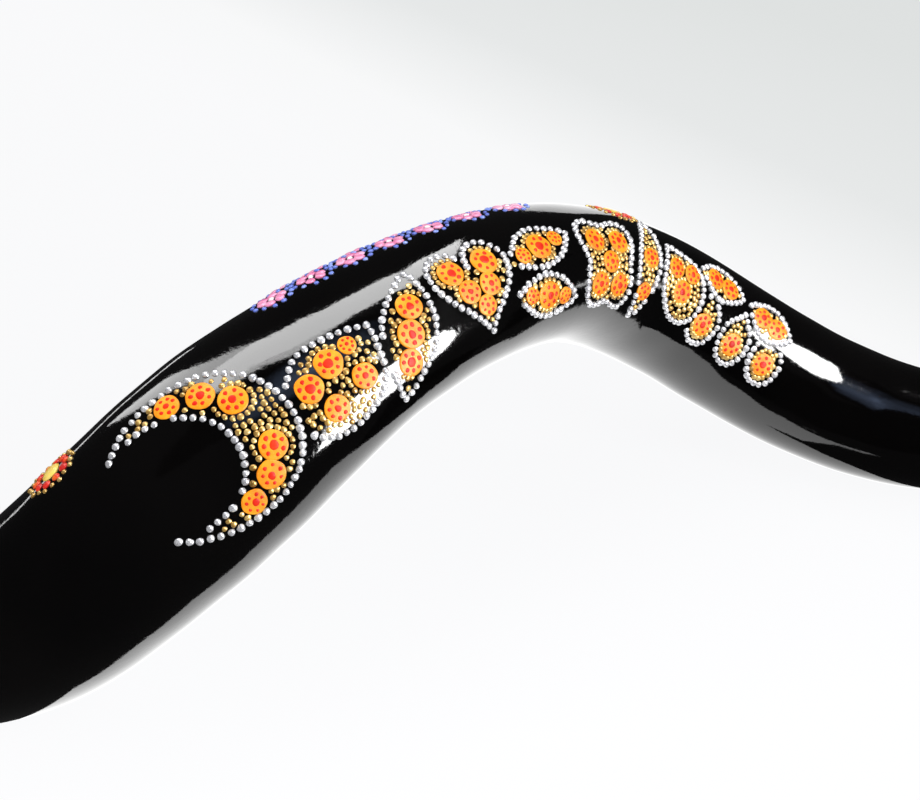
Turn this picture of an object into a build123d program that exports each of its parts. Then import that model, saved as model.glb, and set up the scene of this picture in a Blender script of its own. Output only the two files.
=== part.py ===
from build123d import *
import os
from math import atan2, cos, degrees, hypot, pi, radians, sin, sqrt

# A kudu-horn shofar in black lacquer, decorated with raised dots of dried paint.
# Millimetres, +Z up. The horn lies at rest on Z = 0 with the bell towards -X.

# The horn winds round a straight axis. Each station gives the place along that axis,
# the distance from it, the turn round it, the mean girth and the lean of the oval.
STATIONS = [
    (-310.0, 43.5, -146.0, 73.5, -4.0),
    (-270.0, 41.5, -104.0, 70.5, -6.0),
    (-230.0, 55.5, -83.5, 67.0, -9.0),
    (-190.0, 62.0, -58.5, 64.5, -12.5),
    (-160.0, 62.5, -34.0, 63.0, -12.0),
    (-135.0, 60.0, -15.5, 62.0, -4.0),
    (-110.0, 55.5, 3.0, 60.0, 10.0),
    (-80.0, 52.0, 25.5, 56.0, 16.0),
    (-55.0, 49.0, 44.5, 54.0, 17.0),
    (-25.0, 47.0, 68.5, 52.5, 12.0),
    (0.0, 45.5, 90.5, 51.5, 5.5),
    (40.0, 40.0, 127.5, 49.0, 3.0),
    (75.0, 35.0, 164.0, 47.0, -1.0),
    (110.0, 31.0, 202.5, 46.0, -6.0),
    (175.0, 26.0, 273.0, 42.0, -5.0),
    (310.0, 16.5, 414.5, 35.0, -3.0),
    (410.0, 18.0, 515.0, 29.5, -1.5),
    (510.0, 20.0, 612.0, 24.0, 0.0),
]
OVAL_SHORT = 0.93
OVAL_LONG = 1.065
SECTION_POINTS = 16
STRETCH = 14
STRETCHES = 4

# Wall, hollow and mouthpiece
WALL_BELL = 4.5
WALL_TIP = 7.5
HOLLOW_END = 60.0
BORE_RADIUS = 4.3
BORE_INNER_RADIUS = 4.9
BORE_DEPTH = 63.0
CUP_RADIUS = 8.0
CUP_DEPTH = 12.0
CUP_OVERSHOOT = 3.0
CUP_SLOPE = (CUP_RADIUS - BORE_RADIUS) / CUP_DEPTH

# How the horn lies at rest: turn about its axis, dip of the axis, then shift
REST_TURN = -38.5
REST_DIP = 3.2
REST_SHIFT = (-86.73, 15.34, 58.99)

# Dried paint: domes of paint, each a footprint radius and a height
SILVER = (1.1, 0.75)
GOLD = (0.85, 0.55)
DISC_RADIUS = 4.4
DISC_HEIGHT = 0.4
DISC_CROWN = 0.3
DISC_SEAT = 0.05
EYE = (1.45, 0.5)
SPECK = (0.68, 0.38)
SPECK_RING = 2.95
PETAL = (1.8, 0.75)
BLUE = (0.8, 0.5)
WHITE = (0.95, 0.6)
SUN_PETAL = (1.45, 0.7)
OUTLINE_PITCH = 2.5
FILL_GAP = 1.85
FILL_STEP = 0.65
MOTIF_GAP = 2.3
MOON_OFFSET = 0.42
DOT_LIFT = 0.02

# The front band of motifs from bell to tip: shape, place along the axis, angle round
# the horn (0 faces -Y, 90 faces up before the horn is laid down), size along and
# round the horn, lean, then the discs as (along, round, radius)
BAND = [
    ("crescent", -125.5, 3.0, 24.0, 17.3, 0.0,
     [(13.7, 8.3, 4.3), (8.4, 15.0, 4.15), (0.5, 18.9, 3.7),
      (13.7, -8.3, 4.3), (8.4, -15.0, 4.15), (0.5, -18.9, 3.7)]),
    ("drop", -94.0, -4.0, 35.0, 27.0, 32.0,
     [(-8.2, 2.6, 4.3), (0.2, 5.6, 4.3), (-5.4, -6.6, 4.0), (7.2, 7.2, 2.7), (6.1, -3.2, 3.9)]),
    ("leaf", -74.5, -4.0, 41.0, 16.5, 62.0,
     [(-4.1, -7.7, 4.1), (0.0, 0.0, 4.4), (4.1, 7.7, 4.1)]),
    ("heart", -51.5, 2.0, 27.0, 33.0, 0.0,
     [(-6.2, 8.6, 4.3), (6.2, 8.6, 4.3), (-3.9, 0.7, 3.7), (3.9, 0.7, 3.7), (0.0, -5.6, 3.2)]),
    ("leaf", -29.0, 18.5, 26.0, 15.0, 14.0,
     [(-7.2, -1.8, 2.7), (0.0, 0.0, 4.4), (7.2, 1.8, 2.7)]),
    ("leaf", -30.5, -20.0, 26.0, 15.0, -12.0,
     [(-7.2, 1.6, 2.7), (0.0, 0.0, 4.4), (7.2, -1.6, 2.7)]),
    ("clover", -5.5, 0.0, 12.6, 17.5, 0.0,
     [(-5.3, 8.2, 4.0), (5.3, 8.2, 4.0), (-5.3, -8.2, 4.0), (5.3, -8.2, 4.0), (0.0, 0.0, 3.5)]),
    ("leaf", 12.0, 4.0, 42.0, 11.0, 84.0,
     [(-1.0, -10.0, 3.2), (0.4, 3.0, 3.4)]),
    ("drop", 28.0, 3.0, 30.0, 22.0, 128.0,
     [(0.8, -3.4, 4.0), (-4.6, 4.2, 3.6), (4.2, 4.8, 3.4)]),
    ("leaf", 45.5, 25.0, 24.0, 13.5, -2.0,
     [(-4.2, 0.1, 3.8), (4.2, -0.1, 3.8)]),
    ("leaf", 68.5, 21.0, 24.0, 13.5, -4.0,
     [(-4.2, 0.2, 3.8), (4.2, -0.2, 3.8)]),
    ("pendant", 43.0, -12.5, 15.0, 19.0, 0.0, [(0.0, -2.3, 4.0)]),
    ("pendant", 58.0, -10.5, 15.0, 19.0, 0.0, [(0.0, -2.3, 4.0)]),
    ("pendant", 73.0, -7.0, 15.0, 19.0, 0.0, [(0.0, -2.3, 4.0)]),
]

# The flowers along the crest: places along the axis in two rows at two angles
FLOWER_X = [-91.0, -80.5, -70.0, -59.0, -47.5, -35.5, -23.0]
FLOWER_ROWS = (74.0, 101.0)
FLOWER_PETALS = 6
FLOWER_RING = 3.1
FLOWER_EDGE = 5.9

# The sun motifs: place along the axis and angle round the horn
SUNS = [(-152.0, 60.0), (8.0, 66.0)]
SUN_EYE = (3.6, 1.1)
SUN_RINGS = 10


def natural_spline(xs, ys):
    """Smooth curve through the points, straight at both ends."""
    n = len(xs)
    h = [xs[i + 1] - xs[i] for i in range(n - 1)]
    diag = [1.0] * n
    rhs = [0.0] * n
    for i in range(1, n - 1):
        low = h[i - 1] if i > 1 else 0.0
        slope = (ys[i + 1] - ys[i]) / h[i] - (ys[i] - ys[i - 1]) / h[i - 1]
        factor = low / diag[i - 1]
        diag[i] = 2.0 * (h[i - 1] + h[i]) - factor * low
        rhs[i] = 6.0 * slope - factor * rhs[i - 1]
    bend = [0.0] * n
    for i in range(n - 2, 0, -1):
        bend[i] = (rhs[i] - h[i] * bend[i + 1]) / diag[i]

    def value(x):
        i = 0
        while i < n - 2 and x > xs[i + 1]:
            i += 1
        a = (xs[i + 1] - x) / h[i]
        b = (x - xs[i]) / h[i]
        cubic = (a**3 - a) * bend[i] + (b**3 - b) * bend[i + 1]
        return a * ys[i] + b * ys[i + 1] + cubic * h[i] ** 2 / 6.0

    return value


AXIS = [row[0] for row in STATIONS]
coil_radius, coil_turn, girth, lean = (
    natural_spline(AXIS, [row[k] for row in STATIONS]) for k in (1, 2, 3, 4)
)
X_BELL = AXIS[0]
X_TIP = AXIS[-1]


def centre(x):
    turn = radians(coil_turn(x))
    return Vector(x, -coil_radius(x) * cos(turn), coil_radius(x) * sin(turn))


def axes_at(x):
    """Direction along the horn, and the oval's short and long directions."""
    along = (centre(x + 0.05) - centre(x - 0.05)).normalized()
    turn = radians(coil_turn(x))
    out = Vector(0, -cos(turn), sin(turn))
    out = (out - along * out.dot(along)).normalized()
    side = out.cross(along)
    tilt = radians(lean(x))
    short = out * cos(tilt) + side * sin(tilt)
    long = side * cos(tilt) - out * sin(tilt)
    return along, short, long


def arc_table():
    """Length of the centre line from the bell rim, at even steps of x."""
    count = 800
    xs = [X_BELL + (X_TIP - X_BELL) * i / count for i in range(count + 1)]
    run = [0.0]
    for i in range(count):
        run.append(run[-1] + (centre(xs[i + 1]) - centre(xs[i])).length)
    return xs, run


ARC_X, ARC_RUN = arc_table()
LENGTH = ARC_RUN[-1]


def look_up(value, keys, values):
    i = 0
    while i < len(keys) - 2 and value > keys[i + 1]:
        i += 1
    part = (value - keys[i]) / (keys[i + 1] - keys[i])
    return values[i] + part * (values[i + 1] - values[i])


def x_from_run(run):
    return look_up(run, ARC_RUN, ARC_X)


def run_from_x(x):
    return look_up(x, ARC_X, ARC_RUN)


def section(x, wall, shift=0.0):
    """Oval across the horn at x, drawn in by the wall and moved along by shift."""
    along, short, long = axes_at(x)
    middle = centre(x) + along * shift
    half_short = girth(x) / 2 * OVAL_SHORT - wall
    half_long = girth(x) / 2 * OVAL_LONG - wall
    start = radians(coil_turn(x) + lean(x))
    points = []
    for i in range(SECTION_POINTS):
        turn = 2 * pi * i / SECTION_POINTS - start
        points.append(middle + short * (half_short * cos(turn)) + long * (half_long * sin(turn)))
    return Wire([Edge.make_spline(points, periodic=True)])


def wall_at(run):
    return WALL_BELL + (WALL_TIP - WALL_BELL) * run / LENGTH


def loft_in_stretches(rings):
    """One solid through all the rings, lofted a stretch at a time."""
    body = None
    for first in range(0, len(rings) - 1, STRETCH):
        piece = Solid.make_loft(rings[first : first + STRETCH + 1])
        body = piece if body is None else body + piece
    return body


def skin():
    count = STRETCH * STRETCHES
    runs = [LENGTH * i / count for i in range(count + 1)]
    return loft_in_stretches([section(x_from_run(run), 0.0) for run in runs])


def hollow():
    count = STRETCH * STRETCHES
    last = LENGTH - HOLLOW_END
    runs = [last * i / count for i in range(count + 1)]
    rings = [section(X_BELL, wall_at(0.0), -2.0)]
    rings += [section(x_from_run(run), wall_at(run)) for run in runs[1:]]
    return loft_in_stretches(rings)


def bore_plane():
    """At the mouthpiece rim, looking out of the horn along the drilled bore."""
    tip = centre(X_TIP)
    inner = centre(x_from_run(LENGTH - HOLLOW_END))
    return Plane(origin=tip, z_dir=(tip - inner).normalized())


def horn_body():
    mouth = bore_plane()
    drill = Cone(BORE_INNER_RADIUS, BORE_RADIUS, BORE_DEPTH, align=(Align.CENTER, Align.CENTER, Align.MAX))
    cup = Cone(
        BORE_RADIUS,
        CUP_RADIUS + CUP_SLOPE * CUP_OVERSHOOT,
        CUP_DEPTH + CUP_OVERSHOOT,
        align=(Align.CENTER, Align.CENTER, Align.MAX),
    )
    horn = skin() - hollow()
    horn -= mouth * drill
    horn -= mouth * Pos(0, 0, CUP_OVERSHOOT) * cup
    return horn


def skin_point(run, angle):
    x = x_from_run(run)
    along, short, long = axes_at(x)
    turn = radians(angle - coil_turn(x) - lean(x))
    half = girth(x) / 2
    return centre(x) + short * (half * OVAL_SHORT * cos(turn)) + long * (half * OVAL_LONG * sin(turn))


def moved_by(place, along, around):
    """A place on the skin, as (run, angle), moved by millimetres along and round it."""
    run = place[0] + along
    half = girth(x_from_run(run)) / 2
    return run, place[1] + degrees(around / half)


def skin_plane(place):
    """Plane touching the skin there, with +Z out of the horn."""
    run, angle = place
    point = skin_point(run, angle)
    forward = skin_point(run + 0.2, angle) - point
    upward = skin_point(run, angle + 0.4) - point
    outward = forward.cross(upward)
    if outward.dot(point - centre(x_from_run(run))) < 0:
        outward = -outward
    return Plane(origin=point, x_dir=forward, z_dir=outward)


def dome(radius, height):
    """Cap of a ball standing on its flat side at Z = 0."""
    ball = (radius**2 + height**2) / (2 * height)
    start = degrees(atan2(ball - height, radius))
    foot = (Align.CENTER, Align.CENTER, Align.MIN)
    return Sphere(ball, arc_size1=start, arc_size2=90, align=foot)


def dot(place, size):
    return skin_plane(place) * Pos(0, 0, DOT_LIFT) * dome(*size)


def skin_radius(place):
    """How tightly the skin curves round the horn there."""
    run, angle = place
    points = [skin_point(run, angle + step) for step in (-6, 0, 6)]
    chord = points[2] - points[0]
    rise = (points[1] - (points[0] + points[2]) * 0.5).length
    return chord.length**2 / (8 * rise)


def disc(place, radius):
    """Low pool of paint, hollowed underneath to sit on the round skin."""
    pool = Pos(0, 0, DISC_HEIGHT) * dome(radius, DISC_CROWN)
    pool += Pos(0, 0, DISC_HEIGHT) * Cylinder(
        radius, DISC_HEIGHT + 0.5, align=(Align.CENTER, Align.CENTER, Align.MAX)
    )
    round_skin = skin_radius(place)
    seat = Rot(0, 90, 0) * Cylinder(round_skin, 6 * radius)
    return skin_plane(place) * (pool - Pos(0, 0, DISC_SEAT - round_skin) * seat)


def disc_dots(place, radius):
    """The red eye and the ring of specks on top of a disc."""
    crown = DISC_HEIGHT + DISC_CROWN
    ball = (radius**2 + DISC_CROWN**2) / (2 * DISC_CROWN)
    ring = SPECK_RING * radius / DISC_RADIUS
    base = skin_plane(place)
    dots = [base * Pos(0, 0, crown + DOT_LIFT) * dome(EYE[0] * radius / DISC_RADIUS, EYE[1])]
    tilt = degrees(atan2(ring, sqrt(ball**2 - ring**2)))
    for i in range(7):
        swing = Rot(0, 0, 360 / 7 * i) * Pos(0, 0, crown - ball) * Rot(0, tilt, 0)
        dots.append(base * swing * Pos(0, 0, ball + DOT_LIFT) * dome(*SPECK))
    return dots


def turned(points, lean_angle):
    c, s = cos(radians(lean_angle)), sin(radians(lean_angle))
    return [(p * c - q * s, p * s + q * c) for p, q in points]


def crescent(outer, inner):
    """Moon open towards the bell."""
    offset = MOON_OFFSET * outer
    reach = (inner**2 - outer**2 - offset**2) / (2 * offset)
    far = degrees(atan2(sqrt(outer**2 - reach**2), reach))
    near = degrees(atan2(sqrt(outer**2 - reach**2), reach + offset))
    out = [(outer * cos(radians(far * k / 40)), outer * sin(radians(far * k / 40))) for k in range(-40, 41)]
    back = [
        (inner * cos(radians(near * k / 30)) - offset, inner * sin(radians(near * k / 30)))
        for k in range(30, -31, -1)
    ]
    return out + back


def oval_shape(length, width, pinch_tip, pinch_tail):
    """Rounded shape with more or less pointed ends."""
    points = []
    for k in range(96):
        t = 2 * pi * k / 96
        sharp = pinch_tip if cos(t) > 0 else pinch_tail
        slim = 1 - sharp * abs(cos(t)) ** 2
        points.append((length / 2 * cos(t), width / 2 * sin(t) * slim))
    return points


def heart(length, height):
    points = []
    for k in range(96):
        t = 2 * pi * k / 96
        p = length / 2 * sin(t) ** 3
        q = (13 * cos(t) - 5 * cos(2 * t) - 2 * cos(3 * t) - cos(4 * t)) / 29
        points.append((p, q * height + 0.09 * height))
    return points


def clover(radius, height):
    points = []
    for k in range(120):
        t = 2 * pi * k / 120
        reach = radius * (1 - 0.17 * cos(4 * t))
        points.append((reach * cos(t), reach * sin(t) * height / radius))
    return points


def outline(kind, length, width):
    if kind == "crescent":
        return crescent(length, width)
    if kind == "drop":
        return oval_shape(length, width, 0.75, -0.1)
    if kind == "leaf":
        return oval_shape(length, width, 0.6, 0.6)
    if kind == "heart":
        return heart(length, width)
    if kind == "clover":
        return clover(length, width)
    return turned(oval_shape(width, length, 0.8, -0.15), 90)


def strung(points, pitch):
    """Even places along a closed outline."""
    runs = [0.0]
    closed = points + points[:1]
    for a, b in zip(closed, closed[1:]):
        runs.append(runs[-1] + hypot(b[0] - a[0], b[1] - a[1]))
    count = max(6, round(runs[-1] / pitch))
    places = []
    for i in range(count):
        want = runs[-1] * i / count
        p, q = (look_up(want, runs, [v[k] for v in closed]) for k in (0, 1))
        if all(hypot(p - a, q - b) > 0.85 * pitch for a, b in places):
            places.append((p, q))
    return places


def is_inside(points, p, q):
    hit = False
    for a, b in zip(points, points[1:] + points[:1]):
        if (a[1] > q) != (b[1] > q) and p < a[0] + (q - a[1]) / (b[1] - a[1]) * (b[0] - a[0]):
            hit = not hit
    return hit


def infill(points, beads, discs):
    """Gold dots wherever there is room inside the outline, the discs' surrounds first."""
    choices = []
    for a, b, r in discs:
        reach = r + GOLD[0] + 0.1
        count = int(2 * pi * reach / FILL_GAP)
        turns = [2 * pi * i / count for i in range(count)]
        choices += [(a + reach * cos(turn), b + reach * sin(turn)) for turn in turns]
    for row in range(-40, 41):
        choices += [((column + 0.5 * (row % 2)) * FILL_STEP, row * FILL_STEP) for column in range(-40, 41)]
    places = []
    clear = SILVER[0] + GOLD[0] + 0.04
    for p, q in choices:
        if not is_inside(points, p, q):
            continue
        if min(hypot(p - a, q - b) for a, b in beads) < clear:
            continue
        if min(hypot(p - a, q - b) - r for a, b, r in discs) < GOLD[0] + 0.05:
            continue
        if all(hypot(p - a, q - b) >= FILL_GAP for a, b in places):
            places.append((p, q))
    return places


def apart(place, other):
    """Distance between two places on the skin, in millimetres."""
    half = girth(x_from_run(place[0])) / 2
    return hypot(place[0] - other[0], radians(place[1] - other[1]) * half)


def clear_of_discs(place, radius, discs):
    return all(apart(place, middle) > radius + reach for middle, reach in discs)


def with_room(places, taken):
    """The places that don't run into the paint of an earlier motif."""
    return [place for place in places if all(apart(place, other) > MOTIF_GAP for other in taken)]


def band_motifs():
    """Every dot of the front band, sorted by colour, in millimetres round each motif."""
    silver, gold, discs = [], [], []
    for kind, x, angle, length, width, lean_angle, pools in BAND:
        home = (run_from_x(x), angle)
        edge = turned(outline(kind, length, width), lean_angle)
        beads = strung(edge, OUTLINE_PITCH)
        taken = silver + gold
        silver += with_room([moved_by(home, p, q) for p, q in beads], taken)
        gold += with_room([moved_by(home, p, q) for p, q in infill(edge, beads, pools)], taken)
        discs += [(moved_by(home, p, q), r) for p, q, r in pools]
    silver = [place for place in silver if clear_of_discs(place, SILVER[0], discs)]
    gold = [place for place in gold if clear_of_discs(place, GOLD[0], discs)]
    return silver, gold, discs


def flower_motifs():
    pink, blue, white = [], [], []
    for row, angle in enumerate(FLOWER_ROWS):
        for x in FLOWER_X:
            home = (run_from_x(x + 5.5 * row), angle)
            white.append(home)
            for i in range(FLOWER_PETALS):
                a = 2 * pi * i / FLOWER_PETALS
                pink.append(moved_by(home, FLOWER_RING * cos(a), FLOWER_RING * sin(a)))
            for i in range(12):
                a = 2 * pi * (i + 0.5) / 12
                blue.append(moved_by(home, FLOWER_EDGE * cos(a), FLOWER_EDGE * sin(a)))
    return pink, blue, white


def sun_motifs():
    eyes, petals, sparks = [], [], []
    for x, angle in SUNS:
        home = (run_from_x(x), angle)
        eyes.append(home)
        for i in range(SUN_RINGS):
            a = 2 * pi * i / SUN_RINGS
            petals.append(moved_by(home, 5.3 * cos(a), 5.3 * sin(a)))
            sparks.append(moved_by(home, 7.9 * cos(a), 7.9 * sin(a)))
            b = a + pi / SUN_RINGS
            sparks.append(moved_by(home, 7.3 * cos(b), 7.3 * sin(b)))
    return eyes, petals, sparks


def at_rest(solids):
    lay = Pos(*REST_SHIFT) * Rot(0, REST_DIP, 0) * Rot(REST_TURN, 0, 0)
    return Compound([lay * solid for solid in solids])


def dots(places, size):
    return [dot(place, size) for place in places]


def save(name, solids):
    flat = [solid for shape in solids for solid in shape.solids()]
    export_step(at_rest(flat), os.path.join("parts", name + ".step"))


def main():
    os.makedirs("parts", exist_ok=True)
    horn = horn_body()
    silver, gold, discs = band_motifs()
    pink, blue, white = flower_motifs()
    eyes, petals, sparks = sun_motifs()
    save("horn_body", [horn])
    save("band_silver_beads", dots(silver, SILVER))
    save("band_gold_beads", dots(gold, GOLD))
    save("band_orange_discs", [disc(place, radius) for place, radius in discs])
    save("band_red_dots", [mark for place, radius in discs for mark in disc_dots(place, radius)])
    save("crest_pink_petals", dots(pink, PETAL))
    save("crest_blue_beads", dots(blue, BLUE))
    save("crest_white_beads", dots(white, WHITE))
    save("sun_yellow_eyes", dots(eyes, SUN_EYE))
    save("sun_red_petals", dots(petals, SUN_PETAL))
    save("sun_gold_beads", dots(sparks, GOLD))


main()
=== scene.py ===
import math
import random

import bmesh
import bpy
import numpy as np
from mathutils import Matrix, Vector
from mathutils.bvhtree import BVHTree


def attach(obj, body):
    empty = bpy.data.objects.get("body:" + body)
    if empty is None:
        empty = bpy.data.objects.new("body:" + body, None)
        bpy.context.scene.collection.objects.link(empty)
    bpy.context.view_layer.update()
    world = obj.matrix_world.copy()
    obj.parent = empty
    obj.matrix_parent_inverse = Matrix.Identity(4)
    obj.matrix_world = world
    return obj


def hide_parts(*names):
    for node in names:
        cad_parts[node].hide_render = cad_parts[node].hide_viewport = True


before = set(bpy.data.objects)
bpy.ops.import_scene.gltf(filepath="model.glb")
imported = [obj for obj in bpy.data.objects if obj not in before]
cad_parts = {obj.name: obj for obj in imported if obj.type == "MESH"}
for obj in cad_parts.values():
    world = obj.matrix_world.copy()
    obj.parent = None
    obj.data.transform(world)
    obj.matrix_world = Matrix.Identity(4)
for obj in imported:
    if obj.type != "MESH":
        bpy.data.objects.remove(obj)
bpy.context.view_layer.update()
rng = random.Random(7)

# ---------------------------------------------------------------- the horn's shape
# Millimetres along and round a straight axis, as in the CAD: place along the axis,
# distance from it, turn round it, mean girth, lean of the oval.
STATIONS = [
    (-310.0, 43.5, -146.0, 73.5, -4.0),
    (-270.0, 41.5, -104.0, 70.5, -6.0),
    (-230.0, 55.5, -83.5, 67.0, -9.0),
    (-190.0, 62.0, -58.5, 64.5, -12.5),
    (-160.0, 62.5, -34.0, 63.0, -12.0),
    (-135.0, 60.0, -15.5, 62.0, -4.0),
    (-110.0, 55.5, 3.0, 60.0, 10.0),
    (-80.0, 52.0, 25.5, 56.0, 16.0),
    (-55.0, 49.0, 44.5, 54.0, 17.0),
    (-25.0, 47.0, 68.5, 52.5, 12.0),
    (0.0, 45.5, 90.5, 51.5, 5.5),
    (40.0, 40.0, 127.5, 49.0, 3.0),
    (75.0, 35.0, 164.0, 47.0, -1.0),
    (110.0, 31.0, 202.5, 46.0, -6.0),
    (175.0, 26.0, 273.0, 42.0, -5.0),
    (310.0, 16.5, 414.5, 35.0, -3.0),
    (410.0, 18.0, 515.0, 29.5, -1.5),
    (510.0, 20.0, 612.0, 24.0, 0.0),
]
OVAL_SHORT, OVAL_LONG = 0.93, 1.065
WALL_BELL, WALL_TIP = 4.5, 7.5
HOLLOW_END = 60.0
BORE_RADIUS, BORE_INNER_RADIUS = 4.3, 4.9
CUP_RADIUS, CUP_DEPTH = 8.0, 12.0
EDGE_ROUND = 1.1
LAY = (
    Matrix.Translation((-86.73, 15.34, 58.99))
    @ Matrix.Rotation(math.radians(3.2), 4, "Y")
    @ Matrix.Rotation(math.radians(-38.5), 4, "X")
)
LAY_TURN = np.array(LAY.to_3x3())
LAY_SHIFT = np.array(LAY.translation)
ROUND = 168
RINGS = 760


def natural_spline(xs, ys):
    xs, ys = np.array(xs), np.array(ys)
    n, h = len(xs), np.diff(xs)
    rows, rhs = np.eye(n), np.zeros(n)
    for i in range(1, n - 1):
        rows[i, i - 1 : i + 2] = (h[i - 1], 2 * (h[i - 1] + h[i]), h[i])
        rhs[i] = 6 * ((ys[i + 1] - ys[i]) / h[i] - (ys[i] - ys[i - 1]) / h[i - 1])
    bend = np.linalg.solve(rows, rhs)

    def value(x):
        i = np.clip(np.searchsorted(xs, x) - 1, 0, n - 2)
        a, b = (xs[i + 1] - x) / h[i], (x - xs[i]) / h[i]
        cubic = (a**3 - a) * bend[i] + (b**3 - b) * bend[i + 1]
        return a * ys[i] + b * ys[i + 1] + cubic * h[i] ** 2 / 6

    return value


AXIS = [row[0] for row in STATIONS]
coil_radius, coil_turn, girth, lean = (
    natural_spline(AXIS, [row[k] for row in STATIONS]) for k in (1, 2, 3, 4)
)


def unit(v):
    return v / np.linalg.norm(v, axis=-1, keepdims=True)


def centre(x):
    turn = np.radians(coil_turn(x))
    return np.stack([x, -coil_radius(x) * np.cos(turn), coil_radius(x) * np.sin(turn)], -1)


def axes_at(x):
    along = unit(centre(x + 0.05) - centre(x - 0.05))
    turn = np.radians(coil_turn(x))
    out = np.stack([0 * turn, -np.cos(turn), np.sin(turn)], -1)
    out = unit(out - along * (out * along).sum(-1, keepdims=True))
    side = np.cross(out, along)
    tilt = np.radians(lean(x))[..., None]
    return along, out * np.cos(tilt) + side * np.sin(tilt), side * np.cos(tilt) - out * np.sin(tilt)


FINE_X = np.linspace(AXIS[0], AXIS[-1], 6001)
FINE_RUN = np.concatenate(
    [[0.0], np.cumsum(np.linalg.norm(np.diff(centre(FINE_X), axis=0), axis=1))]
)
LENGTH = FINE_RUN[-1]


def x_from_run(run):
    return np.interp(run, FINE_RUN, FINE_X)


WAVES = [
    (rng.choice((0, 1, 1, 2, 2, 3, 4, 5)), rng.uniform(-0.32, 0.32), rng.uniform(0, 6.28))
    for _ in range(22)
]


def hand_finish(run, angle):
    """The slight unevenness of a horn that was scraped and sanded by hand, in mm."""
    lift = 0.0
    for count, pace, start in WAVES:
        size = 0.030 / (0.35 + abs(pace) * 3 + 0.25 * count)
        lift = lift + size * np.sin(count * angle + pace * run + start)
    return lift


def to_row(points):
    """From the horn's own axis, in mm, to the row frame, in metres."""
    return (points @ LAY_TURN.T + LAY_SHIFT) * 0.001


def ring(run, wall, uneven):
    """Points round the horn at one place along it, drawn in by wall."""
    x = np.array([x_from_run(run)])
    along, short, long = axes_at(x)
    w = np.linspace(0, 2 * math.pi, ROUND, endpoint=False)
    a = w - np.radians(coil_turn(x)) - np.radians(lean(x))
    half = girth(x)[0] / 2
    lift = hand_finish(run, w) if uneven else 0.0
    u = (half * OVAL_SHORT - wall + lift) * np.cos(a)
    v = (half * OVAL_LONG - wall + lift) * np.sin(a)
    return centre(x)[0] + u[:, None] * short + v[:, None] * long


def rounded(step):
    """Inset of a rounded edge at a distance from the rim, in mm."""
    if step >= EDGE_ROUND:
        return 0.0
    return EDGE_ROUND - math.sqrt(EDGE_ROUND**2 - (EDGE_ROUND - step) ** 2)


def wall_at(run):
    return WALL_BELL + (WALL_TIP - WALL_BELL) * run / LENGTH


def horn_rings():
    """Closed loop of rings: outside, mouthpiece rim, cup, bore, hollow and bell rim.
    Each is (points, run, how deep inside in mm; 0 outside)."""
    edge = [0.0, 0.08, 0.25, 0.5, 0.8, EDGE_ROUND]
    runs = edge + list(np.linspace(EDGE_ROUND, LENGTH - EDGE_ROUND, RINGS)[1:-1])
    runs += [LENGTH - e for e in reversed(edge)]
    loop = []
    for run in runs:
        inset = rounded(run) + rounded(LENGTH - run)
        loop.append((ring(run, inset, True), run, 0.0))
    x_tip = np.array([AXIS[-1]])
    tip, (tip_along, short, long) = centre(x_tip)[0], [v[0] for v in axes_at(x_tip)]
    inner = centre(np.array([x_from_run(LENGTH - HOLLOW_END)]))[0]
    chord = unit(tip - inner)
    short = unit(short - chord * short.dot(chord))
    long = np.cross(short, chord) if np.dot(np.cross(short, chord), long) > 0 else np.cross(chord, short)
    w = np.linspace(0, 2 * math.pi, ROUND, endpoint=False)
    a = w - math.radians(coil_turn(x_tip)[0]) - math.radians(lean(x_tip)[0])
    circle = np.cos(a)[:, None] * short + np.sin(a)[:, None] * long

    def bored(radius, depth):
        return tip - chord * depth + circle * radius

    def on_rim(radius, depth):
        flat = bored(radius, 0.0)
        slide = -((flat - tip) @ tip_along) / chord.dot(tip_along)
        return flat + slide[:, None] * chord - chord * depth

    slope = (CUP_RADIUS - BORE_RADIUS) / CUP_DEPTH
    loop.append((on_rim(CUP_RADIUS + 0.9, 0.0), LENGTH, 0.2))
    loop.append((on_rim(CUP_RADIUS + 0.35, 0.1), LENGTH, 0.5))
    for depth in (0.5, 1.2, 2.5, 4.0, 6.0, 8.0, 10.0):
        loop.append((on_rim(CUP_RADIUS - slope * depth, depth), LENGTH - depth, depth + 1))
    for depth in (11.4, 12.0, 13.0, 20.0, 30.0, 40.0, 50.0, 59.0):
        grow = (depth - 12.0) / 48.0
        radius = BORE_RADIUS + (BORE_INNER_RADIUS - BORE_RADIUS) * max(0.0, grow)
        loop.append((bored(radius + max(0, 12 - depth) * slope, depth), LENGTH - depth, depth))
    for run in np.linspace(LENGTH - HOLLOW_END, EDGE_ROUND, RINGS // 4):
        loop.append((ring(run, wall_at(run), False), run, run + 2.5))
    for run in reversed(edge[:-1]):
        loop.append((ring(run, wall_at(run) - rounded(run), False), run, run + 2.0))
    return loop


def mesh_piece(name, verts, faces, smooth=True):
    me = bpy.data.meshes.new(name)
    me.from_pydata([tuple(v) for v in verts], [], faces)
    me.validate()
    me.update()
    if smooth:
        me.polygons.foreach_set("use_smooth", [True] * len(me.polygons))
    ob = bpy.data.objects.new(name, me)
    bpy.context.scene.collection.objects.link(ob)
    return ob


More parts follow.
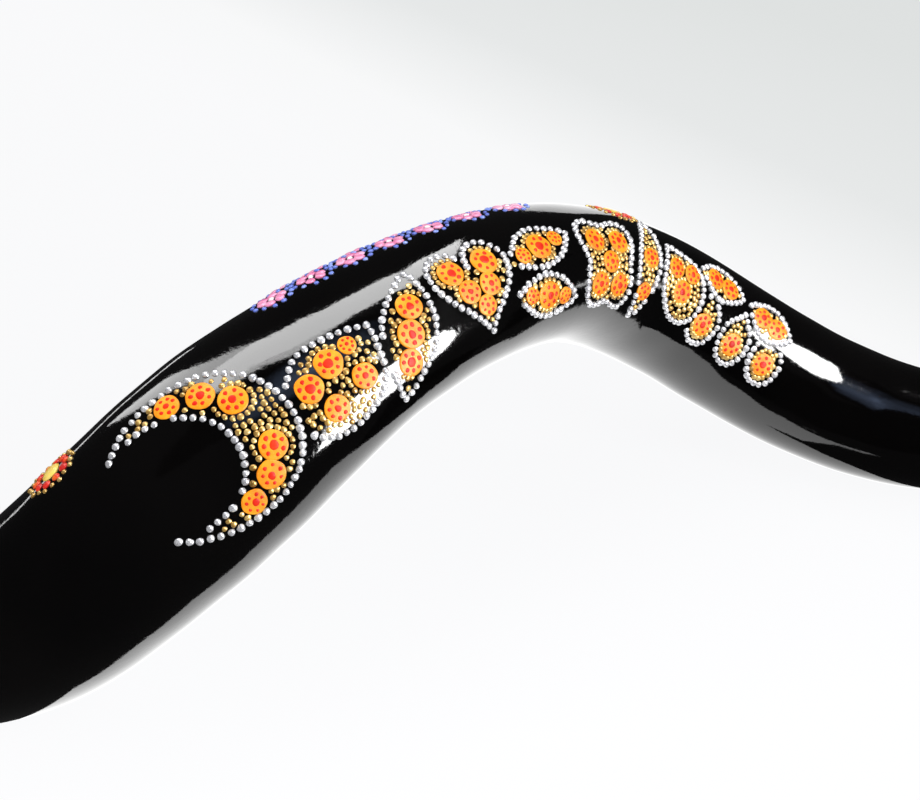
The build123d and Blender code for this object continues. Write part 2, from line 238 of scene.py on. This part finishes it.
def build_horn():
    loop = horn_rings()
    verts = np.concatenate([to_row(points) for points, _, _ in loop])
    faces, places = [], []
    count = len(loop)
    for i in range(count):
        j = (i + 1) % count
        run, next_run = loop[i][1] * 0.001, loop[j][1] * 0.001
        for k in range(ROUND):
            m = (k + 1) % ROUND
            faces.append((i * ROUND + k, i * ROUND + m, j * ROUND + m, j * ROUND + k))
            low, high = k / ROUND, (k + 1) / ROUND
            places += [low, run, high, run, high, next_run, low, next_run]
    ob = mesh_piece("painted_horn", verts, faces)
    me = ob.data
    uv = me.uv_layers.new(name="round_and_along")
    uv.data.foreach_set("uv", places)
    deep = me.attributes.new("depth_inside", "FLOAT", "POINT")
    deep.data.foreach_set("value", np.repeat([d for _, _, d in loop], ROUND))
    bm = bmesh.new()
    bm.from_mesh(me)
    if bm.calc_volume(signed=True) < 0:
        bmesh.ops.reverse_faces(bm, faces=bm.faces)
        bm.to_mesh(me)
    bm.free()
    return ob


# ---------------------------------------------------------------- dried paint
horn = build_horn()
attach(horn, "root")
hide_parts("horn_body")
skin = BVHTree.FromObject(horn, bpy.context.evaluated_depsgraph_get())
AXIS_LINE = to_row(centre(np.linspace(AXIS[0], AXIS[-1], 1500)))


def islands(node):
    """The separate solids of a CAD node, each as its points."""
    bm = bmesh.new()
    bm.from_mesh(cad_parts[node].data)
    bmesh.ops.remove_doubles(bm, verts=bm.verts, dist=1e-6)
    seen, found = set(), []
    for start in bm.verts:
        if start in seen:
            continue
        seen.add(start)
        group, todo = [], [start]
        while todo:
            v = todo.pop()
            group.append(v.co.copy())
            for e in v.link_edges:
                o = e.other_vert(v)
                if o not in seen:
                    seen.add(o)
                    todo.append(o)
        found.append(np.array(group))
    bm.free()
    return found


def seat(point):
    """Nearest place on the skin, with the skin's normal and two directions in it."""
    spot, normal, _, _ = skin.find_nearest(Vector(point))
    near = int(((AXIS_LINE - np.array(spot)) ** 2).sum(1).argmin())
    near = min(max(near, 1), len(AXIS_LINE) - 2)
    along = Vector(AXIS_LINE[near + 1] - AXIS_LINE[near - 1])
    if normal.dot(spot - Vector(AXIS_LINE[near])) < 0:
        normal = -normal
    along = (along - normal * along.dot(normal)).normalized()
    return spot, normal, along, normal.cross(along)


def measure(points):
    """Centre on the skin and radius of one dot."""
    spot, normal, along, around = seat(points.mean(0))
    p, q = points @ np.array(along), points @ np.array(around)
    low = np.array(spot)
    mid_p, mid_q = (p.min() + p.max()) / 2, (q.min() + q.max()) / 2
    move = np.array(along) * (mid_p - low @ np.array(along))
    move = move + np.array(around) * (mid_q - low @ np.array(around))
    return low + move, (p.max() - p.min() + q.max() - q.min()) / 4


# Half sections of a round bead and of a flat pool, from the middle outwards:
# share of the radius, share of the height. The last ring is sunk in the lacquer.
BEAD = [
    (0.0, 1.0), (0.3, 0.965), (0.55, 0.86), (0.75, 0.68), (0.9, 0.42), (0.98, 0.16), (1.03, -0.12)
]
POOL = [
    (0.0, 1.0), (0.2, 1.0), (0.4, 1.0), (0.6, 1.0), (0.78, 1.0),
    (0.88, 1.0), (0.94, 1.0), (0.98, 0.82), (1.0, 0.42), (1.01, -0.35),
]


class Dabs:
    """Many dabs of one paint, gathered into one piece."""

    def __init__(self):
        self.verts, self.faces = [], []

    def grid(self, rows):
        """Join a middle point and the rings round it into a closed cap."""
        first = len(self.verts)
        size = len(rows[1])
        self.verts.append(rows[0][0])
        for row in rows[1:]:
            self.verts += row
        for k in range(size):
            m = (k + 1) % size
            self.faces.append((first, first + 1 + k, first + 1 + m))
        for i in range(len(rows) - 2):
            a, b = first + 1 + i * size, first + 1 + (i + 1) * size
            for k in range(size):
                m = (k + 1) % size
                self.faces.append((a + k, b + k, b + m, a + m))
        last = first + 1 + (len(rows) - 2) * size
        self.faces.append(tuple(last + k for k in reversed(range(size))))

    def bead(self, point, radius, height, wobble=0.05, drift=0.12, segments=16, base=0.0):
        """One drop of paint, a little uneven, that dried where it was set down."""
        spot, normal, along, around = seat(point)
        shape = [(n, rng.uniform(0, wobble), rng.uniform(0, 6.28)) for n in (1, 2, 3)]
        lean_x, lean_y = rng.uniform(-drift, drift), rng.uniform(-drift, drift)
        rows = []
        for t, rise in BEAD:
            row = []
            for k in range(segments if t else 1):
                a = 2 * math.pi * k / segments
                r = radius * t * (1 + sum(s * math.cos(n * a + p) for n, s, p in shape))
                x = r * math.cos(a) + lean_x * radius * max(rise, 0)
                y = r * math.sin(a) + lean_y * radius * max(rise, 0)
                row.append(spot + along * x + around * y + normal * (height * rise + base))
            rows.append(row)
        self.grid(rows)

    def pool(self, point, radius, height, crown, segments=44):
        """A flat disc of poured paint that follows the round skin."""
        spot, normal, along, around = seat(point)
        shape = [(n, rng.uniform(0, 0.022), rng.uniform(0, 6.28)) for n in (1, 2, 3, 5)]
        rows = []
        for t, rise in POOL:
            row = []
            for k in range(segments if t else 1):
                a = 2 * math.pi * k / segments
                r = radius * t * (1 + sum(s * math.cos(n * a + p) for n, s, p in shape))
                at = spot + along * (r * math.cos(a)) + around * (r * math.sin(a))
                place, out, _, _ = skin.find_nearest(at)
                if out.dot(normal) < 0:
                    out = -out
                row.append(place + out * (height * rise + crown * (1 - t * t)))
            rows.append(row)
        self.grid(rows)

    def finish(self, name, node):
        ob = mesh_piece(name, self.verts, self.faces)
        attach(ob, "root")
        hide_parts(node)
        return ob


def beads(name, node, slot, height, size=(0.9, 1.1), shift=0.0, **options):
    """A bead for every solid of a CAD node, each a little off in size, height and place."""
    dabs = Dabs()
    for points in islands(node):
        at, radius = measure(points)
        _, _, along, around = seat(at)
        at = Vector(at) + along * rng.uniform(-shift, shift) + around * rng.uniform(-shift, shift)
        grow = rng.uniform(*size)
        dabs.bead(at, radius * grow, height * rng.uniform(0.85, 1.15), **options)
    return dabs.finish(name, node)


silver = beads(
    "silver_outline", "band_silver_beads", "silver_paint", 0.00085, (0.92, 1.19), 0.00018, wobble=0.07
)
gold = beads(
    "gold_infill", "band_gold_beads", "gold_paint", 0.0005, (0.92, 1.29), 0.00022, wobble=0.09
)
pink = beads("crest_petals", "crest_pink_petals", "pink_paint", 0.0007, (0.88, 1.1), 0.0002)
blue = beads("crest_edging", "crest_blue_beads", "blue_paint", 0.0005, (0.85, 1.2), 0.0002)
white = beads("crest_centres", "crest_white_beads", "white_paint", 0.0007)
sun_eyes = beads("sun_centres", "sun_yellow_eyes", "yellow_paint", 0.0008, wobble=0.03, segments=32)
sun_petals = beads("sun_petals", "sun_red_petals", "red_paint", 0.0007, (0.9, 1.12))
sun_sparks = beads("sun_edging", "sun_gold_beads", "gold_paint", 0.0006, (0.85, 1.15))

DISC_LIFT, DISC_CROWN, FULL_DISC = 0.00036, 0.00018, 0.0044
MARK_HEIGHT, MARK_SHIFT = 0.0002, 0.0002
pools = [measure(points) for points in islands("band_orange_discs")]
dabs = Dabs()
for at, radius in pools:
    dabs.pool(at, radius * rng.uniform(1.04, 1.09), DISC_LIFT, DISC_CROWN)
discs = dabs.finish("orange_discs", "band_orange_discs")

dabs = Dabs()
for points in islands("band_red_dots"):
    at, radius = measure(points)
    home, reach = min(pools, key=lambda p: ((p[0] - at) ** 2).sum())
    part = min(1.0, math.sqrt(((home - at) ** 2).sum()) / reach)
    top = DISC_LIFT + DISC_CROWN * (1 - part * part)
    _, _, along, around = seat(at)
    step, turn = rng.uniform(-MARK_SHIFT, MARK_SHIFT), rng.uniform(-MARK_SHIFT, MARK_SHIFT)
    at = Vector(at) + along * step + around * turn
    small = min(1.0, reach / FULL_DISC)
    dabs.bead(at, radius * small * rng.uniform(0.85, 1.2), MARK_HEIGHT, wobble=0.09, base=top)
red = dabs.finish("red_marks", "band_red_dots")


# ---------------------------------------------------------------- materials
class Nodes:
    """Short hand for building a node material."""

    def __init__(self, name):
        self.mat = bpy.data.materials.new(name)
        self.mat.use_nodes = True
        self.tree = self.mat.node_tree
        self.tree.nodes.clear()
        self.out = self.add("ShaderNodeOutputMaterial")

    def add(self, kind, **values):
        node = self.tree.nodes.new(kind)
        for key, value in values.items():
            if key in node.inputs:
                node.inputs[key].default_value = value
            else:
                setattr(node, key, value)
        return node

    def link(self, a, b):
        self.tree.links.new(a, b)

    def noise(self, scale, detail=3.0, rough=0.5, coords=None, distortion=0.0):
        values = {"Scale": scale, "Detail": detail, "Roughness": rough, "Distortion": distortion}
        node = self.add("ShaderNodeTexNoise", **values)
        self.link(coords if coords else self.coords(), node.inputs["Vector"])
        return node.outputs["Fac"]

    def coords(self):
        if not hasattr(self, "_coords"):
            self._coords = self.add("ShaderNodeTexCoord").outputs["Object"]
        return self._coords

    def ramp(self, fac, *stops):
        node = self.add("ShaderNodeValToRGB")
        ramp = node.color_ramp
        while len(ramp.elements) < len(stops):
            ramp.elements.new(0.5)
        for element, (place, colour) in zip(ramp.elements, stops):
            element.position = place
            element.color = (*colour, 1.0)
        self.link(fac, node.inputs["Fac"])
        return node.outputs["Color"]

    def math(self, operation, a, b=0.0, clamp=False):
        node = self.add("ShaderNodeMath", operation=operation, use_clamp=clamp)
        for k, v in enumerate((a, b)):
            if isinstance(v, (int, float)):
                node.inputs[k].default_value = v
            else:
                self.link(v, node.inputs[k])
        return node.outputs[0]

    def bump(self, height, strength, distance, under=None):
        node = self.add("ShaderNodeBump", Strength=strength, Distance=distance)
        self.link(height, node.inputs["Height"])
        if under is not None:
            self.link(under, node.inputs["Normal"])
        return node.outputs["Normal"]


def grey(v):
    return (v, v, v)


def lacquer_and_horn():
    """Gloss black lacquer outside and just over the rims, bare horn deeper inside."""
    n = Nodes("black_lacquer_over_horn")
    fine = n.noise(420.0, 3.0, 0.6)
    peel = n.noise(150.0, 2.0, 0.55)
    broad = n.noise(14.0, 3.0, 0.5)
    gloss = {"IOR": 1.5, "Coat Weight": 0.6, "Coat Roughness": 0.03, "Coat IOR": 1.5}
    coat = n.add("ShaderNodeBsdfPrincipled", **gloss)
    black = n.ramp(broad, (0.3, (0.0008, 0.0007, 0.0008)), (0.7, (0.0022, 0.0019, 0.0019)))
    n.link(black, coat.inputs["Base Color"])
    n.link(n.ramp(broad, (0.3, grey(0.045)), (0.7, grey(0.085))), coat.inputs["Roughness"])
    dip = n.bump(peel, 0.06, 0.0003)
    n.link(n.bump(fine, 0.6, 0.00008, dip), coat.inputs["Normal"])

    uv = n.add("ShaderNodeUVMap", uv_map="round_and_along")
    stretch = n.add("ShaderNodeMapping")
    stretch.inputs["Scale"].default_value = (24.0, 9.0, 1.0)
    n.link(uv.outputs["UV"], stretch.inputs["Vector"])
    streak = n.noise(2.2, 6.0, 0.62, stretch.outputs["Vector"], 0.4)
    grain = n.noise(12.0, 4.0, 0.6, stretch.outputs["Vector"])
    waxy = {"IOR": 1.54, "Subsurface Weight": 0.15, "Subsurface Scale": 0.002}
    bare = n.add("ShaderNodeBsdfPrincipled", **waxy)
    tone = n.ramp(
        streak,
        (0.25, (0.075, 0.052, 0.036)),
        (0.45, (0.26, 0.19, 0.125)),
        (0.62, (0.52, 0.43, 0.30)),
        (0.8, (0.66, 0.58, 0.45)),
    )
    n.link(tone, bare.inputs["Base Color"])
    n.link(n.ramp(grain, (0.3, grey(0.38)), (0.7, grey(0.62))), bare.inputs["Roughness"])
    n.link(n.bump(grain, 0.5, 0.0004), bare.inputs["Normal"])

    deep = n.add("ShaderNodeAttribute", attribute_name="depth_inside").outputs["Fac"]
    ragged = n.math("ADD", deep, n.math("MULTIPLY", n.noise(60.0, 4.0, 0.6), 6.0))
    share = n.math("GREATER_THAN", ragged, 9.0)
    mix = n.add("ShaderNodeMixShader")
    n.link(share, mix.inputs["Fac"])
    n.link(coat.outputs["BSDF"], mix.inputs[1])
    n.link(bare.outputs["BSDF"], mix.inputs[2])
    n.link(mix.outputs["Shader"], n.out.inputs["Surface"])
    return n.mat


def paint(
    name, dark, main, light, rough=(0.3, 0.45), metallic=0.0, coat=0.4, speck=None, flecks=0.0, shine=0.5
):
    """Dried hobby paint: pigment that varies a little from dab to dab and within one."""
    n = Nodes(name)
    dab = n.noise(230.0, 2.0, 0.5)
    tiny = n.noise(2600.0, 3.0, 0.6)
    values = {"Metallic": metallic, "IOR": 1.5, "Specular IOR Level": shine}
    values.update({"Coat Weight": coat, "Coat Roughness": 0.12})
    b = n.add("ShaderNodeBsdfPrincipled", **values)
    colour = n.ramp(dab, (0.28, dark), (0.5, main), (0.72, light))
    if speck:
        spots = n.add("ShaderNodeTexVoronoi", Scale=1500.0, Randomness=1.0)
        n.link(n.coords(), spots.inputs["Vector"])
        near = n.ramp(spots.outputs["Distance"], (0.12, grey(flecks)), (0.3, grey(0.0)))
        mix = n.add("ShaderNodeMix", data_type="RGBA")
        n.link(near, mix.inputs[0])
        n.link(colour, mix.inputs[6])
        mix.inputs[7].default_value = (*speck, 1.0)
        colour = mix.outputs[2]
    n.link(colour, b.inputs["Base Color"])
    n.link(n.ramp(tiny, (0.3, grey(rough[0])), (0.7, grey(rough[1]))), b.inputs["Roughness"])
    n.link(n.bump(tiny, 0.25, 0.00006), b.inputs["Normal"])
    n.link(b.outputs["BSDF"], n.out.inputs["Surface"])
    return n.mat


def dress(ob, mat):
    ob.data.materials.clear()
    ob.data.materials.append(mat)


gold_paint = paint(
    "gold_beads", (0.33, 0.17, 0.035), (0.60, 0.36, 0.09), (0.88, 0.66, 0.27),
    rough=(0.25, 0.42), metallic=0.6, speck=(1.0, 0.82, 0.42), flecks=0.7,
)
silver_paint = paint(
    "silver_beads", (0.52, 0.52, 0.55), (0.74, 0.74, 0.77), (0.92, 0.92, 0.94),
    rough=(0.2, 0.38), metallic=0.55, coat=0.5, speck=(1.0, 1.0, 1.0), flecks=0.5,
)
orange_paint = paint(
    "orange_discs", (0.92, 0.25, 0.004), (1.0, 0.33, 0.007), (1.0, 0.42, 0.014),
    coat=0.04, speck=(1.0, 0.60, 0.10), flecks=0.4, shine=0.2,
)
red_paint = paint(
    "red_marks", (0.60, 0.008, 0.001), (0.80, 0.018, 0.002), (0.90, 0.045, 0.004),
    rough=(0.35, 0.5), coat=0.0, shine=0.15,
)
petal_red = paint(
    "red_petals", (0.42, 0.006, 0.008), (0.72, 0.016, 0.006), (0.98, 0.22, 0.01), coat=0.2
)
yellow_paint = paint("yellow_centres", (0.80, 0.50, 0.05), (0.95, 0.68, 0.12), (1.0, 0.80, 0.25))
pink_paint = paint("pink_petals", (0.72, 0.16, 0.36), (0.90, 0.30, 0.52), (0.98, 0.55, 0.72))
blue_paint = paint("blue_beads", (0.06, 0.10, 0.50), (0.13, 0.20, 0.70), (0.30, 0.42, 0.90))
white_paint = paint("white_beads", (0.78, 0.78, 0.80), (0.92, 0.92, 0.93), (1.0, 1.0, 1.0))

dress(horn, lacquer_and_horn())
dress(silver, silver_paint)
dress(gold, gold_paint)
dress(discs, orange_paint)
dress(red, red_paint)
dress(pink, pink_paint)
dress(blue, blue_paint)
dress(white, white_paint)
dress(sun_eyes, yellow_paint)
dress(sun_petals, petal_red)
dress(sun_sparks, gold_paint)


# ---------------------------------------------------------------- floor and light
def stage_mesh(name, corners, mat):
    """A flat panel that belongs to the studio, not to the horn."""
    ob = mesh_piece(name, corners, [tuple(range(len(corners)))], smooth=False)
    ob.data.materials.append(mat)
    return ob


def floor_material():
    """Paper white that glows instead of being lit, so the horn casts almost no shadow on it; painted shade
    darkens it to a cool grey towards the far right, and a painted brighter strip runs along the front.
    """
    n = Nodes("pale_floor")
    place = n.add("ShaderNodeSeparateXYZ")
    n.link(n.coords(), place.inputs[0])
    right = n.math("MULTIPLY", place.outputs["X"], 0.9)
    back = n.math("MULTIPLY", place.outputs["Y"], 0.6)
    # Painted shade: the glow falls off to a cool grey towards the far right and back.
    tone = n.ramp(
        n.math("SUBTRACT", n.math("ADD", right, back), 0.05, clamp=True),
        (0.0, (0.928, 0.930, 0.940)),
        (0.07, (0.915, 0.920, 0.925)),
        (0.17, (0.770, 0.785, 0.785)),
        (0.32, (0.715, 0.735, 0.730)),
        (1.0, (0.66, 0.68, 0.68)),
    )
    # Painted light: a slightly brighter strip of floor towards the front.
    near = n.math("MULTIPLY", n.math("SUBTRACT", 0.06, place.outputs["Y"]), 7.0, clamp=True)
    glow = n.add("ShaderNodeEmission")
    n.link(n.math("ADD", n.math("MULTIPLY", near, 0.045), 0.99), glow.inputs["Strength"])
    n.link(tone, glow.inputs["Color"])
    matte = n.add("ShaderNodeBsdfDiffuse", Color=(0.03, 0.03, 0.03, 1.0))
    both = n.add("ShaderNodeAddShader")
    n.link(glow.outputs[0], both.inputs[0])
    n.link(matte.outputs[0], both.inputs[1])
    n.link(both.outputs[0], n.out.inputs["Surface"])
    return n.mat


def plain_glow(name, strength):
    """Even white light; a strength of 0 makes a black flag."""
    n = Nodes(name)
    glow = n.add("ShaderNodeEmission", Color=(1.0, 1.0, 1.0, 1.0), Strength=strength)
    n.link(glow.outputs[0], n.out.inputs["Surface"])
    return n.mat


def window_glow(middle, reach):
    """Faint blue light from a window, fading away from its middle."""
    n = Nodes("window_glow")
    away = n.add("ShaderNodeVectorMath", operation="DISTANCE")
    n.link(n.coords(), away.inputs[0])
    away.inputs[1].default_value = middle
    fade = n.ramp(n.math("DIVIDE", away.outputs["Value"], reach), (0.1, grey(1.0)), (1.0, grey(0.0)))
    cloud = n.ramp(n.noise(4.0, 2.0, 0.5), (0.35, grey(0.35)), (0.65, grey(1.6)))
    glow = n.add("ShaderNodeEmission", Color=(0.50, 0.65, 1.0, 1.0))
    n.link(n.math("MULTIPLY", fade, cloud), glow.inputs["Strength"])
    n.link(glow.outputs[0], n.out.inputs["Surface"])
    return n.mat


def level(height, *corners):
    """Corners of a level panel, from (x, y) pairs."""
    return [(x, y, height) for x, y in corners]


def upright_along_x(y, *corners):
    """Corners of an upright panel that runs left to right, from (x, z) pairs."""
    return [(x, y, z) for x, z in corners]


def upright_along_y(x, *corners):
    """Corners of an upright panel that runs front to back, from (y, z) pairs."""
    return [(x, y, z) for y, z in corners]


def card(name, corners, material):
    """A panel that the lacquer mirrors; the camera doesn't see it."""
    ob = stage_mesh(name, corners, material)
    ob.visible_camera = False
    ob.visible_diffuse = False
    ob.visible_shadow = False
    ob.visible_transmission = False


FLOOR, FLOOR_HALF = -0.0006, 90.0
CEILING, BACK = 1.1, 0.7
floor = stage_mesh(
    "floor",
    level(
        FLOOR,
        (-FLOOR_HALF, -FLOOR_HALF), (FLOOR_HALF, -FLOOR_HALF),
        (FLOOR_HALF, FLOOR_HALF), (-FLOOR_HALF, FLOOR_HALF),
    ),
    floor_material(),
)
floor.visible_glossy = False

# The grey along the underside is the lit floor, which the lacquer mirrors.
card(
    "floor_card",
    level(
        0.0,
        (-0.90, -0.045), (-0.29, -0.045), (-0.265, -0.072), (-0.20, -0.088), (-0.07, -0.105), (-0.06, -0.06),
        (-0.045, -0.03), (-0.04, -0.005), (-0.03, 0.002), (0.60, 0.002), (0.60, 0.08), (0.05, 0.09),
        (-0.03, 0.14), (-0.12, 0.14), (-0.20, 0.06), (-0.90, 0.06),
    ),
    plain_glow("floor_card", 1.5),
)
card(
    "floor_card_right",
    level(
        0.0,
        (-0.06, -0.065), (-0.02, -0.06), (-0.02, -0.005), (-0.03, 0.002), (-0.04, -0.005), (-0.045, -0.03),
        (-0.06, -0.06),
    ),
    plain_glow("floor_card_right", 1.5),
)
# The broad grey band along the top is a diffuser overhead, with a dimmer tail.
card(
    "overhead_card",
    level(
        CEILING,
        (-0.37, 0.05), (-0.11, 0.014), (0.07, 0.21), (0.285, 0.33), (0.35, 0.63),
        (0.33, 1.38), (0.15, 0.78), (-0.20, 0.53), (-0.46, 0.64), (-0.53, 0.37),
    ),
    plain_glow("overhead_card", 7.0),
)
card(
    "overhead_tail",
    level(
        CEILING,
        (-0.46, 0.64), (-0.95, 1.35), (-1.7, 2.6), (-2.9, 3.6), (-1.8, 2.0), (-1.05, 1.0), (-0.53, 0.37),
    ),
    plain_glow("overhead_tail", 4.0),
)
# The pale crest and the thin line on the far left are light from behind the horn.
card(
    "back_card",
    upright_along_x(
        BACK,
        (-0.05, -0.35), (0.20, -0.35), (0.24, -0.05), (0.24, 0.18),
        (0.20, 0.23), (0.14, 0.225), (0.08, 0.18), (0.0, 0.02),
    ),
    plain_glow("back_card", 1.4),
)
card(
    "side_strip",
    [(-0.95, 0.66, 0.02), (-0.50, 0.92, 0.02), (-0.50, 0.92, 0.07), (-0.95, 0.66, 0.07)],
    plain_glow("side_strip", 2.5),
)
# The two white highlights are softboxes, and the faint blue patch is a window.
card(
    "softbox_low",
    [
        (0.18, -0.43, 0.02), (0.29, -0.275, 0.0), (0.32, -0.235, 0.05), (0.34, -0.21, 0.12),
        (0.34, -0.21, 0.185), (0.32, -0.235, 0.28), (0.28, -0.29, 0.31), (0.18, -0.43, 0.225),
    ],
    plain_glow("softbox_low", 24.0),
)
card(
    "softbox_high",
    [
        (0.46, -0.35, 0.31), (0.51, -0.3, 0.31), (0.51, -0.17, 0.38), (0.45, -0.12, 0.46),
        (0.39, -0.02, 0.56), (0.34, -0.02, 0.59), (0.2, -0.15, 0.63), (0.17, -0.23, 0.61),
        (0.23, -0.33, 0.5),
    ],
    plain_glow("softbox_high", 22.0),
)
card(
    "window",
    level(CEILING, (-0.45, -0.80), (0.55, -0.80), (0.55, 0.12), (-0.45, 0.12)),
    window_glow((0.15, -0.33, CEILING), 0.38),
)
# Black flags keep each softbox out of the stretch that the other one lights.
card(
    "flag_left",
    upright_along_y(
        0.0, (-0.14, 0.185), (-0.09, 0.165), (-0.03, 0.15), (0.03, 0.15), (0.03, 0.36), (-0.14, 0.36)
    ),
    plain_glow("flag_left", 0.0),
)
card(
    "flag_low",
    upright_along_y(-0.072, (-0.085, 0.004), (-0.025, 0.004), (-0.025, 0.075), (-0.085, 0.075)),
    plain_glow("flag_low", 0.0),
)
card(
    "flag_right",
    upright_along_x(-0.03, (-0.03, 0.03), (0.10, 0.03), (0.10, 0.105), (0.06, 0.10), (-0.03, 0.09)),
    plain_glow("flag_right", 0.0),
)


def lamp(name, place, aim, size, power):
    """A round soft lamp that lights the paint and isn't mirrored in the lacquer."""
    data = bpy.data.lights.new(name, "AREA")
    data.shape, data.size, data.energy = "DISK", size, power
    ob = bpy.data.objects.new(name, data)
    ob.location = place
    ob.rotation_euler = (Vector(aim) - Vector(place)).to_track_quat("-Z", "Y").to_euler()
    ob.visible_glossy = False
    ob.visible_camera = False
    bpy.context.scene.collection.objects.link(ob)


lamp("key", (0.55, -0.75, 0.95), (-0.1, 0, 0.08), 0.5, 9.0)
lamp("fill", (-0.9, -0.6, 0.9), (-0.15, 0, 0.08), 0.9, 4.5)
lamp("top", (-0.1, 0.25, 1.2), (-0.1, 0, 0.1), 0.8, 6.0)

# Dim where the lacquer mirrors it, brighter as a light, brightest where the camera sees it
WORLD_LIGHT, WORLD_MIRRORED, WORLD_SEEN = 0.45, 0.02, 0.73
world = bpy.data.worlds.new("studio")
bpy.context.scene.world = world
world.use_nodes = True
tree = world.node_tree
tree.nodes.clear()
out = tree.nodes.new("ShaderNodeOutputWorld")
ground = tree.nodes.new("ShaderNodeBackground")
ground.inputs["Color"].default_value = (0.93, 0.94, 0.95, 1.0)
path = tree.nodes.new("ShaderNodeLightPath")
mirrored = tree.nodes.new("ShaderNodeMapRange")
tree.links.new(path.outputs["Is Glossy Ray"], mirrored.inputs["Value"])
mirrored.inputs["To Min"].default_value = WORLD_LIGHT
mirrored.inputs["To Max"].default_value = WORLD_MIRRORED
seen = tree.nodes.new("ShaderNodeMath")
seen.operation = "MULTIPLY_ADD"
tree.links.new(path.outputs["Is Camera Ray"], seen.inputs[0])
seen.inputs[1].default_value = WORLD_SEEN - WORLD_LIGHT
tree.links.new(mirrored.outputs["Result"], seen.inputs[2])
tree.links.new(seen.outputs["Value"], ground.inputs["Strength"])
tree.links.new(ground.outputs[0], out.inputs["Surface"])

# ---------------------------------------------------------------- camera
CAMERA_AT = (-0.17181, -0.39099, 0.39268)
LOOKS_ALONG, UPWARDS = (0.0829, 0.7771, -0.6238), (0.1285, 0.6124, 0.7800)
camera_data = bpy.data.cameras.new("camera")
camera_data.sensor_width = 36.0
camera_data.lens = 58.7
camera_data.clip_start = 0.01
camera_data.clip_end = 200.0
camera = bpy.data.objects.new("camera", camera_data)
bpy.context.scene.collection.objects.link(camera)
ahead = Vector(LOOKS_ALONG).normalized()
right = ahead.cross(Vector(UPWARDS)).normalized()
above = right.cross(ahead)
turned = Matrix((right, above, -ahead)).transposed().to_4x4()
camera.matrix_world = Matrix.Translation(CAMERA_AT) @ turned
bpy.context.scene.camera = camera
bpy.context.scene.view_settings.view_transform = "Standard"
